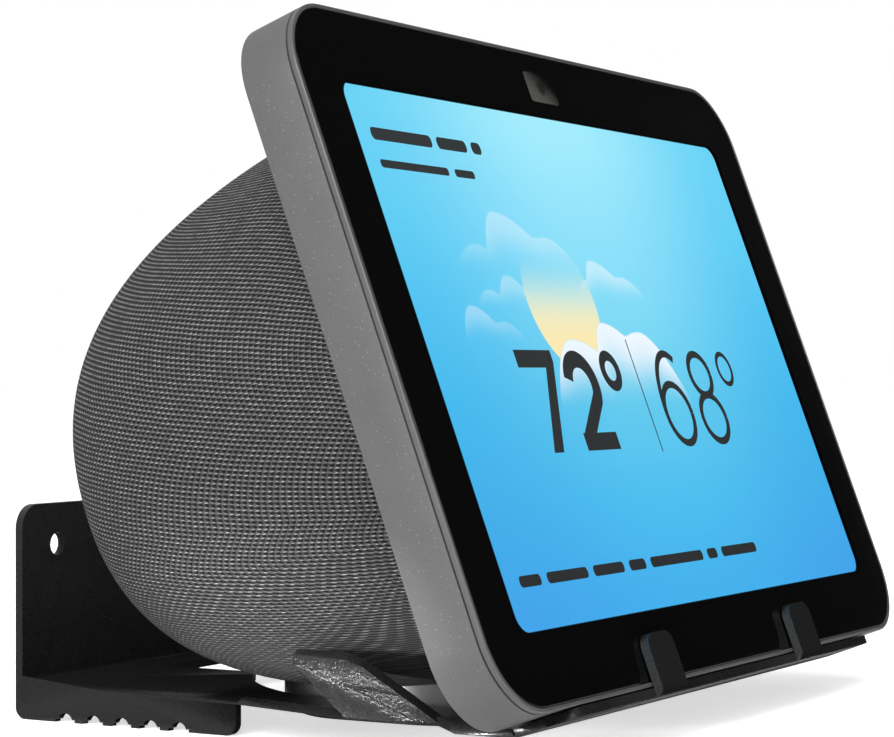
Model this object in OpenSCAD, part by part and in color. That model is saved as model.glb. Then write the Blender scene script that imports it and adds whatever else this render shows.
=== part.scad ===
// Eight-inch smart display held in a bent steel wall bracket.
// +Z is up and the screen faces -Y. The origin is on the wall face, midway between the two wall holes.

/* [Front] */
// Width of the front
front_w = 200; // [190:1:250]
// Height of the front, measured along the screen
front_h = 138; // [134:1:170]
// Corner radius of the front
front_r = 15; // [10:0.5:20]
// How far the screen leans back from upright, in degrees
lean = 20.6; // [15:0.1:26]
// Depth of the housing behind the glass
rim_depth = 11.9; // [11.5:0.1:16]
// Wall of the rim and of the front bezel's skirt
rim_wall = 2; // [1.6:0.1:2.6]
// Thickness of the cover glass
glass_t = 0.7; // [0.5:0.05:0.9]
// Width of the bezel's edge that shows around the glass
bezel_edge = 0.9; // [0.6:0.1:1.4]
// Width of the lit area
active_w = 172.3; // [150:0.1:176]
// Height of the lit area
active_h = 107.7; // [94:0.1:110]
// How far the lit area sits below the front's centre
active_drop = 0.5; // [0:0.1:2]

/* [Fabric body] */
// Depth of the body behind the rim, to its rearmost point
body_depth = 79; // [70:1:95]
// How far the rearmost point sits below the rim's centre
body_drop = 32.3; // [24:0.1:38]
// How far the body's side starts inside the rim's side
body_inset = 1.8; // [1:0.1:6]
// How far the body's top edge starts below the rim's top edge
top_inset = 3.5; // [2:0.1:12]
// How far the body's bottom edge starts above the rim's bottom edge
bottom_inset = 5.5; // [3:0.1:12]
// Squareness of the body's outline behind the rim (2 is an ellipse)
outline_squareness = 2.2; // [2:0.05:4]
// Fullness of the body's sides, seen from above
side_fullness = 4.2; // [3:0.1:5]
// Fullness of the body's top, seen from the side
top_fullness = 2.7; // [2:0.1:3.5]
// Fullness of the body's underside, seen from the side
bottom_fullness = 1.5; // [1.3:0.05:2]
// Thickness of the knitted cover
cover_t = 1.2; // [0.8:0.1:2]
// Thickness of the rear shell under the cover
shell_t = 2.2; // [1.8:0.1:3]

/* [Foot] */
// Width of the foot
foot_w = 104; // [80:1:108]
// Depth of the foot
foot_d = 56; // [40:1:60]
// Distance from the front's centre back to the foot's centre
foot_back = 34; // [28:1:38]
// Height of the foot's underside below the front's centre
foot_drop = 74.4; // [73:0.1:80]
// Thickness of the rubber pad under the foot
pad_t = 1.4; // [1:0.1:2.5]

/* [Wall bracket] */
// Thickness of the bracket's sheet
sheet = 1.8; // [1.2:0.1:2.5]
// Distance from the wall to the front's centre
reach = 113.8; // [112:0.1:130]
// Height of the wall holes above the plate's top
hole_rise = 28; // [20:0.5:40]
// Distance between the wall holes
hole_spacing = 100; // [70:1:108]
// Diameter of the wall holes
hole_d = 4.9; // [3:0.1:6.5]
// Width of the bracket at the wall
bracket_w = 124; // [120:1:150]
// Height of the wall flange above the plate's top
flange_h = 36.8; // [34:0.1:60]
// Depth of the side flanges below the plate's top
skirt_h = 8.2; // [6:0.1:14]
// Distance from the front's side to the side of the tray under it
tray_margin = 22; // [12:1:27]
// Distance between the two front hooks
hook_spacing = 72; // [50:1:110]
// Width of a hook
hook_w = 11.5; // [8:0.5:16]
// How far a hook reaches up the glass from the front's bottom edge
hook_reach = 10; // [7:0.5:13]
// Gap between the bracket and the display
seat_gap = 0.3; // [0.2:0.05:0.6]

/* [Controls and sound] */
// Diameter of a top button
button_d = 5.8; // [4:0.1:6.2]
// Distance from the centre of the front to the mic button
mic_button_x = 48; // [40:1:56]
// Distance from the centre of the front to the nearer volume button
volume_button_x = 48; // [40:1:56]
// Distance between the two volume buttons
button_pitch = 14; // [12:0.5:20]
// How far a button travels
button_travel = 0.5; // [0.3:0.05:0.7]
// How far the camera shutter slides
shutter_travel = 9; // [8:0.5:11]
// Radius of a loudspeaker's flange
speaker_r = 22; // [20:0.5:23]
// Radius of the bass radiator's flange
radiator_r = 18; // [16:0.5:19]
// How far a cone moves each way
cone_travel = 1.5; // [0.5:0.1:2]

/* [Hidden] */
$fn = 64;
eps = 0.01;

// The display rests on the plate with its lean, so its place follows from the bracket.
plate_z = -hole_rise;
front_z = plate_z + seat_gap + front_h/2*cos(lean) + rim_depth*sin(lean);
front_at = [0, -reach, front_z];
// Directions across the leaning front: up along the screen, and out of the glass.
up_screen = [0, sin(lean), cos(lean)];
out_of_glass = [0, -cos(lean), sin(lean)];
rim_centre = -rim_depth*out_of_glass;

// Levels behind the glass face, counted outwards (negative is behind the glass).
bezel_back = -1.25;
groove = 0.3;
ledge_back = -2.4;
skirt_back = -6;
lcd_front = -0.8;
lcd_back = -2.6;
light_back = -6.2;
rim_floor_t = 2;
chassis_t = 1.2;
chassis_back = -rim_depth + rim_floor_t;
fit_gap = 0.3;
ledge_w = 8;
lcd_border = 3.5;

// Outline and surface of the fabric body.
body_half = front_w/2 - body_inset;
body_top = front_h/2 - top_inset;
body_bottom = front_h/2 - bottom_inset;
port_open_r = 11;
cover_segments = 72;
cover_rings = 18;
shell_segments = 60;
shell_rings = 14;

function signed_power(x, p) = sign(x)*pow(abs(x), p);
function outline_half(a, inset) = (a < 180 ? body_top : body_bottom) - inset;
function outline(a, inset) = [
    (body_half - inset)*signed_power(cos(a), 2/outline_squareness),
    outline_half(a, inset)*signed_power(sin(a), 2/outline_squareness)
];
function fullness(a) = pow(cos(a), 2)*side_fullness
    + pow(sin(a), 2)*(a < 180 ? top_fullness : bottom_fullness);
function to_rear(inset) = (body_depth - inset)/body_depth*[0, body_depth, -body_drop];
function body_point(a, t, inset) =
    let (
        edge = outline(a, inset),
        narrowing = pow(cos(t), 2/fullness(a)),
        depth = pow(sin(t), 2/fullness(a))
    )
    rim_centre + narrowing*(edge[0]*[1, 0, 0] + edge[1]*up_screen) + depth*to_rear(inset);

module at_front() { translate(front_at) children(); }

module on_screen() { at_front() rotate([90 - lean, 0, 0]) children(); }

// A flat plate with round corners, from level low to level high.
module rounded_plate(w, h, r, low, high) {
    translate([0, 0, low]) linear_extrude(high - low) rounded_outline(w, h, r);
}

module rounded_outline(w, h, r) {
    square([w - 2*r, h], center = true);
    square([w, h - 2*r], center = true);
    for (x = [-1, 1], y = [-1, 1]) {
        translate([x*(w/2 - r), y*(h/2 - r)]) circle(r);
    }
}

module front_plate(inset, low, high) {
    rounded_plate(front_w - 2*inset, front_h - 2*inset, front_r - inset, low, high);
}

// The body's surface as rings of points, from the rim to the round port, and the triangles between them.
function port_angle(a, inset) = acos(pow(port_open_r/norm(outline(a, inset)), fullness(a)/2));
function ring_points(inset, segments, rings) = [
    for (j = [0:rings], i = [0:segments - 1])
        let (a = i*360/segments)
        body_point(a, j*port_angle(a, inset)/rings, inset)
];
function next(i, segments) = (i + 1)%segments;
function skin_faces(segments, rings) = [
    for (j = [0:rings - 1], i = [0:segments - 1], half = [0, 1])
        let (near = j*segments, far = near + segments)
        half == 0
            ? [near + i, far + next(i, segments), far + i]
            : [near + i, near + next(i, segments), far + next(i, segments)]
];

// A curved shell between two insets, open at the rim and round the port at the rear.
module body_shell(outer, inner, segments, rings) {
    count = (rings + 1)*segments;
    last = rings*segments;
    outside = skin_faces(segments, rings);
    inside = [for (f = outside) [count + f[0], count + f[2], count + f[1]]];
    rim_end = [
        for (i = [0:segments - 1], half = [0, 1])
            let (j = next(i, segments))
            half == 0 ? [i, count + j, j] : [i, count + i, count + j]
    ];
    port_end = [for (f = rim_end) [last + f[0], last + f[2], last + f[1]]];
    points = concat(ring_points(outer, segments, rings), ring_points(inner, segments, rings));
    polyhedron(points, concat(outside, inside, rim_end, port_end));
}

// The solid that the body fills, used to shape what fits against it.
module body_solid(inset, segments, rings) {
    last = rings*segments;
    points = concat(ring_points(inset, segments, rings), [rim_centre, rim_centre + to_rear(inset)]);
    rim_face = [for (i = [0:segments - 1]) [i, len(points) - 2, next(i, segments)]];
    rear_face = [for (i = [0:segments - 1]) [last + next(i, segments), len(points) - 1, last + i]];
    polyhedron(points, concat(skin_faces(segments, rings), rim_face, rear_face));
}

// ---- Wall bracket ----

tray_edge = -reach - front_h/2*sin(lean) + rim_depth*cos(lean);
opening_half = bracket_w/2 - 5;
opening_front = tray_edge + 11;
opening_side_end = opening_front + 44;
cable_slot_w = 50;
cable_slot_end = -12;
corner_r = 5;
notch_r = 1.9;
notch_pitch = 7.2;
notch_count = 5;
skirt_len = 54;
tray_w = front_w - 2*tray_margin;
tray_r = 6;
ear_len = 21;
ear_reach = 17.6;
ear_lean = 45;
ear_x = tray_w/2 - 8;
ear_front = tray_edge + 20;

// The plate's outline, seen from above: wide at the tray, narrow at the wall.
module bracket_outline() {
    right = [
        [bracket_w/2, -sheet], [bracket_w/2, -skirt_len - sheet], [ear_x, ear_front + ear_len],
        [ear_x, ear_front], [tray_w/2, ear_front - 8], [tray_w/2, tray_edge]
    ];
    left = [for (i = [len(right) - 1:-1:0]) [-right[i][0], right[i][1]]];
    polygon(concat(right, left));
}

module bracket_opening() {
    arc_r = opening_half + 3;
    arc_y = opening_side_end - sqrt(arc_r*arc_r - opening_half*opening_half);
    intersection() {
        translate([0, arc_y]) circle(arc_r, $fn = 128);
        translate([-opening_half, opening_front]) square([2*opening_half, 2*arc_r]);
    }
    translate([-cable_slot_w/2, opening_side_end]) {
        square([cable_slot_w, cable_slot_end - opening_side_end]);
    }
}

module wall_flange() {
    difference() {
        rotate([90, 0, 0]) {
            translate([0, plate_z - sheet, 0]) linear_extrude(sheet) {
                h = flange_h + sheet;
                translate([-bracket_w/2, 0]) square([bracket_w, h - corner_r]);
                translate([-bracket_w/2 + corner_r, 0]) square([bracket_w - 2*corner_r, h]);
                for (x = [-1, 1]) translate([x*(bracket_w/2 - corner_r), h - corner_r]) circle(corner_r);
            }
        }
        for (x = [-1, 1]) {
            translate([x*hole_spacing/2, eps, 0]) rotate([90, 0, 0]) {
                cylinder(h = sheet + 2*eps, d = hole_d);
            }
        }
    }
}

module side_flange() {
    low = skirt_h - corner_r/2;
    far = skirt_len + sheet;
    translate([bracket_w/2 - sheet, 0, plate_z]) rotate([90, 0, 90]) linear_extrude(sheet) {
        difference() {
            union() {
                translate([-far, -low]) square([far, low]);
                translate([corner_r/2 - far, -skirt_h]) square([far - corner_r, skirt_h]);
                for (y = [corner_r/2 - far, -corner_r/2]) translate([y, -low]) circle(corner_r/2);
            }
            for (i = [0:notch_count - 1]) {
                translate([-13 - i*notch_pitch, -skirt_h]) circle(notch_r);
                translate([-13 - i*notch_pitch, -skirt_h]) square([2*notch_r + 1.2, 1.2], center = true);
            }
        }
    }
}

module ear() {
    slant = 11;
    bevel = 2;
    translate([ear_x - sheet*sin(ear_lean), ear_front, plate_z]) rotate([90, 0, 90]) {
        rotate([ear_lean, 0, 0]) linear_extrude(sheet) polygon([
            [0, 0], [ear_len, 0], [ear_len + slant/2 - 1, ear_reach - bevel],
            [ear_len + slant/2 - bevel, ear_reach], [slant + bevel, ear_reach], [slant - 1, ear_reach - bevel]
        ]);
    }
}

// The tray under the rim follows the rim's tilted bottom and carries the hooks.
module tray_and_hooks() {
    bottom = -front_h/2 - seat_gap;
    face = seat_gap;
    on_screen() {
        translate([0, bottom, 0]) rotate([90, 0, 0]) linear_extrude(sheet) {
            translate([-tray_w/2, -rim_depth]) square([tray_w, rim_depth + face - tray_r]);
            translate([tray_r - tray_w/2, -rim_depth]) square([tray_w - 2*tray_r, rim_depth + face]);
            for (x = [-1, 1]) translate([x*(tray_w/2 - tray_r), face - tray_r]) circle(tray_r);
        }
        for (x = [-1, 1]) translate([x*hook_spacing/2, bottom, face]) hook();
    }
}

// A hook turns up from the tray's front edge, with a bend as thick as the sheet.
module hook() {
    top_r = 3;
    tip = hook_reach + seat_gap;
    intersection() {
        translate([-hook_w/2, 0, 0]) rotate([0, 90, 0]) cylinder(h = hook_w, r = sheet);
        translate([-hook_w/2, -sheet, 0]) cube([hook_w, sheet, sheet]);
    }
    linear_extrude(sheet) {
        translate([-hook_w/2, 0]) square([hook_w, tip - top_r]);
        translate([top_r - hook_w/2, 0]) square([hook_w - 2*top_r, tip]);
        for (x = [-1, 1]) translate([x*(hook_w/2 - top_r), tip - top_r]) circle(top_r);
    }
}

module wall_bracket() {
    color([0.06, 0.06, 0.06]) {
        difference() {
            translate([0, 0, plate_z - sheet]) linear_extrude(sheet) bracket_outline();
            translate([0, 0, plate_z - sheet - eps]) linear_extrude(sheet + 2*eps) bracket_opening();
        }
        wall_flange();
        side_flange();
        mirror([1, 0, 0]) side_flange();
        ear();
        mirror([1, 0, 0]) ear();
        tray_and_hooks();
    }
}

// ---- Front ----

module front_glass() {
    color([0.01, 0.01, 0.012]) on_screen() front_plate(bezel_edge + 0.1, -glass_t, 0);
}

// Room in the bezel for the camera and its shutter, and for each button's collar.
camera_v = front_h/2 - 8.7;
camera_room = 3.9;
control_w = -6.2;
collar_r = button_d/2 + 0.6;
button_places = [-volume_button_x - button_pitch, -volume_button_x, mic_button_x];
mic_places = [-24, 34];
blade_w = 8.6;
blade_t = 0.25;
blade_back = bezel_back - blade_t - 0.15;
stem_w = 4;
stem_t = 2;

module front_bezel() {
    inner = rim_wall + fit_gap;
    color([0.08, 0.08, 0.085]) on_screen() difference() {
        union() {
            difference() {
                front_plate(0, bezel_back, 0);
                front_plate(bezel_edge, -glass_t - 0.05, 1);
            }
            front_plate(inner, ledge_back, bezel_back + eps);
            front_plate(inner, skirt_back, ledge_back + eps);
        }
        front_plate(ledge_w, skirt_back - 1, 1);
        front_plate(inner + 1.2, skirt_back - 1, ledge_back);
        translate([-blade_w, camera_v - 6, skirt_back - 1]) {
            cube([2*blade_w + shutter_travel, front_h, 1 - skirt_back + bezel_back]);
        }
        for (x = concat(button_places, mic_places)) {
            translate([x - collar_r - 1, camera_v, skirt_back - 1]) {
                cube([2*collar_r + 2, front_h, 1 - skirt_back + ledge_back]);
            }
        }
    }
}

module lit_plate(border, low, high) {
    lit_w = active_w + 2*border;
    lit_h = min(active_h + 2*border, 2*(camera_v - camera_room + active_drop));
    translate([-lit_w/2, -active_drop - lit_h/2, low]) cube([lit_w, lit_h, high - low]);
}

module lcd_panel() {
    color([0.25, 0.62, 0.85]) on_screen() lit_plate(lcd_border, lcd_back, lcd_front);
}

module backlight() {
    color([0.85, 0.85, 0.87]) on_screen() lit_plate(lcd_border + 0.6, light_back, lcd_back - 0.1);
}

module button_hole(x, r) {
    translate([x, 0, control_w]) rotate([-90, 0, 0]) cylinder(h = front_h, r = r);
}

module rim() {
    color([0.2, 0.2, 0.21]) on_screen() difference() {
        front_plate(0, -rim_depth, bezel_back - groove);
        front_plate(rim_wall, -rim_depth + rim_floor_t, 1);
        translate([0, 0, -rim_depth - 1]) linear_extrude(rim_floor_t + 2) {
            polygon([for (i = [0:71]) outline(i*5, 7)]);
        }
        for (x = button_places) button_hole(x, button_d/2 + 0.15);
        for (x = mic_places) button_hole(x, 0.6);
        translate([-stem_w/2 - fit_gap, camera_v, control_w - stem_t/2 - fit_gap]) {
            cube([shutter_travel + stem_w + 2*fit_gap, front_h, stem_t + 2*fit_gap]);
        }
        screw_places() cylinder(h = 3*rim_depth, d = screw_d + 0.2, center = true);
    }
}

// ---- Chassis ----

screw_d = 2;
screw_head_d = 4.2;
screw_head_h = 1.6;

module screw_places() {
    for (x = [-1, 1], y = [-0.72, 0, 0.72]) {
        translate([x*(front_w/2 - 13 - 5*abs(y)), y*(front_h/2 - 12), 0]) children();
    }
}

module chassis_plate() {
    color([0.62, 0.63, 0.65]) on_screen() difference() {
        front_plate(7, chassis_back, chassis_back + chassis_t);
        screw_places() cylinder(h = 3*rim_depth, d = screw_d + 0.4, center = true);
        translate([0, -front_h/4, chassis_back - 1]) rounded_plate(46, 12, 5, 0, 4);
    }
}

module chassis_screws() {
    color([0.7, 0.7, 0.72]) on_screen() screw_places() {
        translate([0, 0, chassis_back + chassis_t]) difference() {
            cylinder(h = screw_head_h, d = screw_head_d);
            translate([0, 0, screw_head_h - 0.8]) cylinder(h = 1, d = 1.6, $fn = 6);
        }
        translate([0, 0, 0.2 - rim_depth]) {
            cylinder(h = rim_depth + chassis_back + chassis_t - 0.2, d = screw_d);
        }
    }
}

// ---- Body ----

module rear_shell() {
    color([0.13, 0.13, 0.14]) at_front() {
        body_shell(cover_t + 0.15, cover_t + shell_t, shell_segments, shell_rings);
    }
}

module fabric_cover() {
    color([0.16, 0.16, 0.17]) at_front() body_shell(0, cover_t, cover_segments, cover_rings);
}

// The port fills the round opening at the back of the shell and its cover, and faces away from the screen.
port_at = rim_centre + to_rear(0);
port_r = port_open_r - 0.3;
port_proud = 0.4;
port_skin = 1.6;
port_wall = 1.4;
port_sleeve = 8.4;
jack_r = 4.6;
jack_len = 9;

module at_port() { at_front() translate(port_at) rotate([270 - lean, 0, 0]) children(); }

// The ring is a thin skin that stands just proud of the cover, with a sleeve inside the opening.
module port_ring() {
    color([0.1, 0.1, 0.105]) difference() {
        intersection() {
            at_port() translate([0, 0, -port_sleeve]) cylinder(h = port_sleeve + 2, r = port_r, $fn = 96);
            at_front() body_solid(-port_proud, 48, 12);
        }
        difference() {
            at_front() body_solid(port_skin, 48, 12);
            at_port() translate([0, 0, -2*port_sleeve]) difference() {
                cylinder(h = 3*port_sleeve, r = port_r + 1, $fn = 96);
                cylinder(h = 3*port_sleeve, r = port_r - port_wall, $fn = 96);
            }
        }
        at_port() translate([0, 0, -2*port_sleeve]) cylinder(h = 3*port_sleeve, r = jack_r + 0.1);
    }
}

module power_jack() {
    color([0.05, 0.05, 0.05]) at_port() {
        difference() {
            translate([0, 0, -jack_len]) cylinder(h = jack_len - 0.6, r = jack_r);
            translate([0, 0, -jack_len + 2]) cylinder(h = jack_len, r = 2.75);
        }
        translate([0, 0, -jack_len + 1]) cylinder(h = jack_len - 3.5, r = 0.85);
    }
}

module power_board() {
    color([0.08, 0.22, 0.14]) at_port() translate([0, 0, -jack_len - 1.6]) rounded_plate(26, 14, 1.5, 0, 1.6);
}

// ---- Foot ----

foot_r = 20;
foot_grow = 0.5;

module foot_outline(inset) { rounded_outline(foot_w - 2*inset, foot_d - 2*inset, foot_r - inset); }

module foot() {
    color([0.07, 0.07, 0.07]) at_front() difference() {
        translate([0, foot_back, pad_t - foot_drop]) linear_extrude(26) foot_outline(0);
        body_solid(-foot_grow, 36, 9);
    }
}

module foot_pad() {
    color([0.03, 0.03, 0.03]) at_front() translate([0, foot_back, -foot_drop]) linear_extrude(pad_t) {
        difference() {
            foot_outline(3);
            foot_outline(11);
        }
    }
}

// ---- Sound ----

box_half = 62;
box_front = 31;
box_rear = 77;
box_low = -39;
box_high = 11;
box_wall = 2;
box_mid_y = (box_front + box_rear)/2;
box_mid_z = (box_low + box_high)/2;
radiator_z = -10;
flange_t = 1.5;
lip = 5.4;
roll_w = 2.4;
edge_gap = 0.3;
coil_r = 5.4;

module at_speaker(side) {
    at_front() translate([side*box_half, box_mid_y, box_mid_z]) rotate([0, side*90, 0]) children();
}

module at_radiator() { at_front() translate([0, box_rear, radiator_z]) rotate([-90, 0, 0]) children(); }

module speaker_box() {
    color([0.09, 0.09, 0.095]) difference() {
        at_front() translate([-box_half, box_front + box_wall, box_low]) {
            cube([2*box_half, box_rear - box_front - box_wall, box_high - box_low]);
        }
        at_front() translate([box_wall - box_half, box_front, box_low + box_wall]) {
            cube([2*(box_half - box_wall), box_rear - box_front - box_wall, box_high - box_low - 2*box_wall]);
        }
        for (side = [-1, 1]) {
            at_speaker(side) translate([0, 0, -2*box_wall]) cylinder(h = 3*box_wall, r = speaker_r - 3);
        }
        at_radiator() translate([0, 0, -2*box_wall]) cylinder(h = 3*box_wall, r = radiator_r - 3);
    }
}

module speaker_box_lid() {
    color([0.1, 0.1, 0.105]) at_front() {
        translate([-box_half, box_front, box_low]) cube([2*box_half, box_wall, box_high - box_low]);
    }
}

// Posts carry the speaker box on the chassis plate.
module speaker_posts() {
    color([0.12, 0.12, 0.125]) difference() {
        on_screen() for (x = [-1, 1], y = [-21, 17]) {
            translate([x*57, y, -60]) cylinder(h = 60 + chassis_back, d = 6);
        }
        at_front() translate([-front_w/2, box_front, -front_h]) cube([front_w, body_depth, 2*front_h]);
    }
}

module speaker_frame(r) {
    rotate_extrude() polygon([
        [r - lip, flange_t], [r, flange_t], [r, 0], [r - 3.2, 0], [r - 3.2, -3], [r - 9.5, -14],
        [coil_r + 2.2, -14], [coil_r + 2.2, -13], [r - 10.2, -13], [r - 4.4, -3], [r - 4.4, 0.3],
        [r - lip, 0.3]
    ]);
}

module surround(r) {
    outer = r - lip;
    inner = outer - roll_w;
    middle = outer - roll_w/2;
    rotate_extrude() polygon([
        [outer, 0.4], [outer, 1.2], [middle + 0.5, 2.2], [middle - 0.5, 2.2], [inner, 1.2], [inner, 0.5],
        [middle - 0.3, 1.5], [middle + 0.3, 1.5]
    ]);
}

module magnet() {
    gap_in = coil_r - 0.4;
    gap_out = coil_r + 1.1;
    rotate_extrude() polygon([
        [0, -23.5], [12, -23.5], [12, -21], [13, -21], [13, -16], [12, -16], [12, -14], [gap_out, -14],
        [gap_out, -21], [gap_in, -21], [gap_in, -14], [0, -14]
    ]);
}

module cone(r) {
    edge = r - lip - roll_w - edge_gap;
    coil_end = -16 - cone_travel;
    rotate_extrude() polygon([
        [edge, 1.1], [coil_r + 0.7, -7], [coil_r + 0.7, coil_end], [coil_r, coil_end], [coil_r, -7.2],
        [0, -5], [0, -4.4], [3, -4.8], [coil_r + 0.3, -6.2], [edge - 0.8, 1.1]
    ]);
}

module left_speaker_frame() { color([0.3, 0.3, 0.31]) at_speaker(-1) speaker_frame(speaker_r); }
module right_speaker_frame() { color([0.3, 0.3, 0.31]) at_speaker(1) speaker_frame(speaker_r); }
module left_speaker_surround() { color([0.05, 0.05, 0.05]) at_speaker(-1) surround(speaker_r); }
module right_speaker_surround() { color([0.05, 0.05, 0.05]) at_speaker(1) surround(speaker_r); }
module left_speaker_magnet() { color([0.55, 0.55, 0.57]) at_speaker(-1) magnet(); }
module right_speaker_magnet() { color([0.55, 0.55, 0.57]) at_speaker(1) magnet(); }
module left_speaker_cone() { color([0.12, 0.12, 0.13]) at_speaker(-1) cone(speaker_r); }
module right_speaker_cone() { color([0.12, 0.12, 0.13]) at_speaker(1) cone(speaker_r); }

module radiator_frame() {
    color([0.3, 0.3, 0.31]) at_radiator() rotate_extrude() polygon([
        [radiator_r - lip, flange_t], [radiator_r, flange_t], [radiator_r, 0], [radiator_r - 3.2, 0],
        [radiator_r - 3.2, -5], [radiator_r - 4.4, -5], [radiator_r - 4.4, 0.3], [radiator_r - lip, 0.3]
    ]);
}

module radiator_surround() { color([0.05, 0.05, 0.05]) at_radiator() surround(radiator_r); }

module radiator_plate() {
    edge = radiator_r - lip - roll_w - edge_gap;
    color([0.5, 0.5, 0.52]) at_radiator() {
        translate([0, 0, -0.4]) cylinder(h = 1.5, r = edge);
        translate([0, 0, -4]) cylinder(h = 3.7, r = edge - 3);
    }
}

// ---- Electronics ----

board_w = 104;
board_h = 72;
board_v = 2;
board_front = -15;
board_t = 1.6;
board_back = board_front - board_t;
standoff_x = board_w/2 - 5;
standoff_y = board_h/2 - 5;

module standoff_places() {
    for (x = [-1, 1], y = [-1, 1]) translate([x*standoff_x, board_v + y*standoff_y, 0]) children();
}

module on_board(x, y, w, h, t) {
    translate([x - w/2, board_v + y - h/2, board_back - t]) cube([w, h, t]);
}

module main_board() {
    color([0.05, 0.2, 0.12]) on_screen() difference() {
        translate([0, board_v, 0]) rounded_plate(board_w, board_h, 3, board_back, board_front);
        standoff_places() translate([0, 0, board_back - 1]) cylinder(h = board_t + 2, d = 2.4);
    }
}

module board_standoffs() {
    color([0.7, 0.68, 0.6]) on_screen() standoff_places() {
        translate([0, 0, board_front]) difference() {
            cylinder(h = chassis_back - board_front, d = 5);
            translate([0, 0, -eps]) cylinder(h = 3.5, d = 1.9);
        }
    }
}

module processor() { color([0.06, 0.06, 0.065]) on_screen() on_board(0, 4, 15, 15, 1.2); }

module memory_chips() {
    color([0.07, 0.07, 0.075]) on_screen() {
        on_board(-17, 0, 11, 9, 1.0);
        on_board(-17, 12, 11, 9, 1.0);
    }
}

module shield_can() { color([0.72, 0.73, 0.75]) on_screen() on_board(38, 12, 20, 24, 2.2); }

module heat_sink() {
    fins = 9;
    base_w = 24;
    base_h = 38;
    color([0.66, 0.67, 0.69]) on_screen() {
        translate([-base_w/2, board_v + 4 - base_h/2, board_back - 3.2]) cube([base_w, base_h, 2]);
        for (i = [0:fins - 1]) {
            translate([-base_w/2 + i*(base_w - 1)/(fins - 1), board_v + 4 - base_h/2, board_back - 6.4]) {
                cube([1, base_h, 3.2]);
            }
        }
    }
}

module board_connectors() {
    color([0.85, 0.83, 0.76]) on_screen() {
        translate([-17, -26, board_front]) cube([34, 4, 1.6]);
        on_board(-42, -22, 12, 6, 4.5);
        on_board(-42, 10, 8, 6, 4);
        on_board(30, -24, 16, 6, 4);
    }
}

module display_ribbon() {
    color([0.75, 0.5, 0.15]) on_screen() translate([-15, 0, 0]) rotate([90, 0, 90]) linear_extrude(30) {
        polygon([
            [-52, -7.2], [-36, -7.2], [-32, -14.3], [-26.1, -14.3], [-26.1, -14.6], [-32.2, -14.6],
            [-36.2, -7.5], [-52, -7.5]
        ]);
    }
}

// ---- Camera and top controls ----

module camera_module() {
    color([0.02, 0.02, 0.025]) on_screen() translate([0, camera_v, 0]) {
        difference() {
            translate([0, 0, -6]) cylinder(h = 4.1, r = 3.2);
            translate([0, 0, -2.6]) cylinder(h = 1, r1 = 1.4, r2 = 2.4);
        }
        translate([-4.2, -camera_room + 0.2, -6.6]) cube([8.4, 8, 0.7]);
    }
}

module camera_board() {
    color([0.05, 0.2, 0.12]) on_screen() translate([0, camera_v, 0]) {
        translate([-6, -camera_room + 0.1, -7.4]) cube([12, 8.6, 0.8]);
        translate([-6, -camera_room + 0.1, chassis_back + chassis_t]) {
            cube([12, 4, -7.4 - chassis_back - chassis_t]);
        }
    }
}

// The blade slides between the glass and the lens, on an arm that ends in the knob on top.
module camera_shutter() {
    arm_top = front_h/2 - rim_wall - 0.6;
    color([0.75, 0.76, 0.78]) on_screen() translate([shutter_travel, 0, 0]) {
        translate([-blade_w/2, camera_v - 3.6, blade_back]) {
            cube([blade_w, arm_top - camera_v + 3.6, blade_t]);
        }
        translate([-blade_w/2, arm_top - 1, control_w - stem_t/2]) {
            cube([blade_w, 1, blade_back - control_w + stem_t/2 + eps]);
        }
        translate([-stem_w/2, arm_top - eps, control_w - stem_t/2]) {
            cube([stem_w, front_h/2 + fit_gap - arm_top + 2*eps, stem_t]);
        }
        translate([0, front_h/2 + fit_gap, control_w]) rotate([-90, 0, 0]) {
            rounded_plate(8, 3.6, 1.7, 0, 1.3);
        }
    }
}

button_foot = front_h/2 - 5.6;

module button(x, proud) {
    on_screen() translate([x, button_foot, control_w]) rotate([-90, 0, 0]) {
        cylinder(h = front_h/2 - rim_wall - 0.4 - button_foot, r = collar_r);
        cylinder(h = front_h/2 + proud - button_foot, r = button_d/2);
    }
}

module volume_up_button() { color([0.12, 0.12, 0.125]) button(button_places[1], 0.9); }
module volume_down_button() { color([0.12, 0.12, 0.125]) button(button_places[0], 0.9); }
module mic_button() { color([0.12, 0.12, 0.125]) button(button_places[2], 0.9); }

switch_top = button_foot - button_travel - 0.05;
switch_board_v = front_h/2 - 8.1;

module volume_board() {
    color([0.05, 0.2, 0.12]) on_screen() {
        for (span = [[button_places[0], button_places[1]], [button_places[2], button_places[2]]]) {
            translate([span[0] - 6, switch_board_v, chassis_back + chassis_t]) {
                cube([span[1] - span[0] + 12, 0.8, 5.7]);
            }
        }
    }
}

module tact_switches() {
    color([0.8, 0.8, 0.78]) on_screen() for (x = button_places) {
        translate([x - 1.9, switch_board_v + 0.8, control_w - 1.9]) cube([3.8, 0.8, 3.8]);
        translate([x, switch_board_v + 1.6, control_w]) rotate([-90, 0, 0]) {
            cylinder(h = switch_top - switch_board_v - 1.6, r = 1.1);
        }
    }
}

module mic_board() {
    color([0.05, 0.2, 0.12]) on_screen() for (x = mic_places) {
        translate([x - 3.5, front_h/2 - rim_wall - 1.2, control_w - 3.4]) cube([7, 1, 6.2]);
    }
}

module wifi_antenna() {
    color([0.7, 0.45, 0.15]) on_screen() for (x = [-1, 1]) {
        translate([x*(front_w/2 - rim_wall - 0.7) - 0.2, -20, chassis_back + 0.3]) cube([0.4, 40, 3.2]);
    }
}

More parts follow.
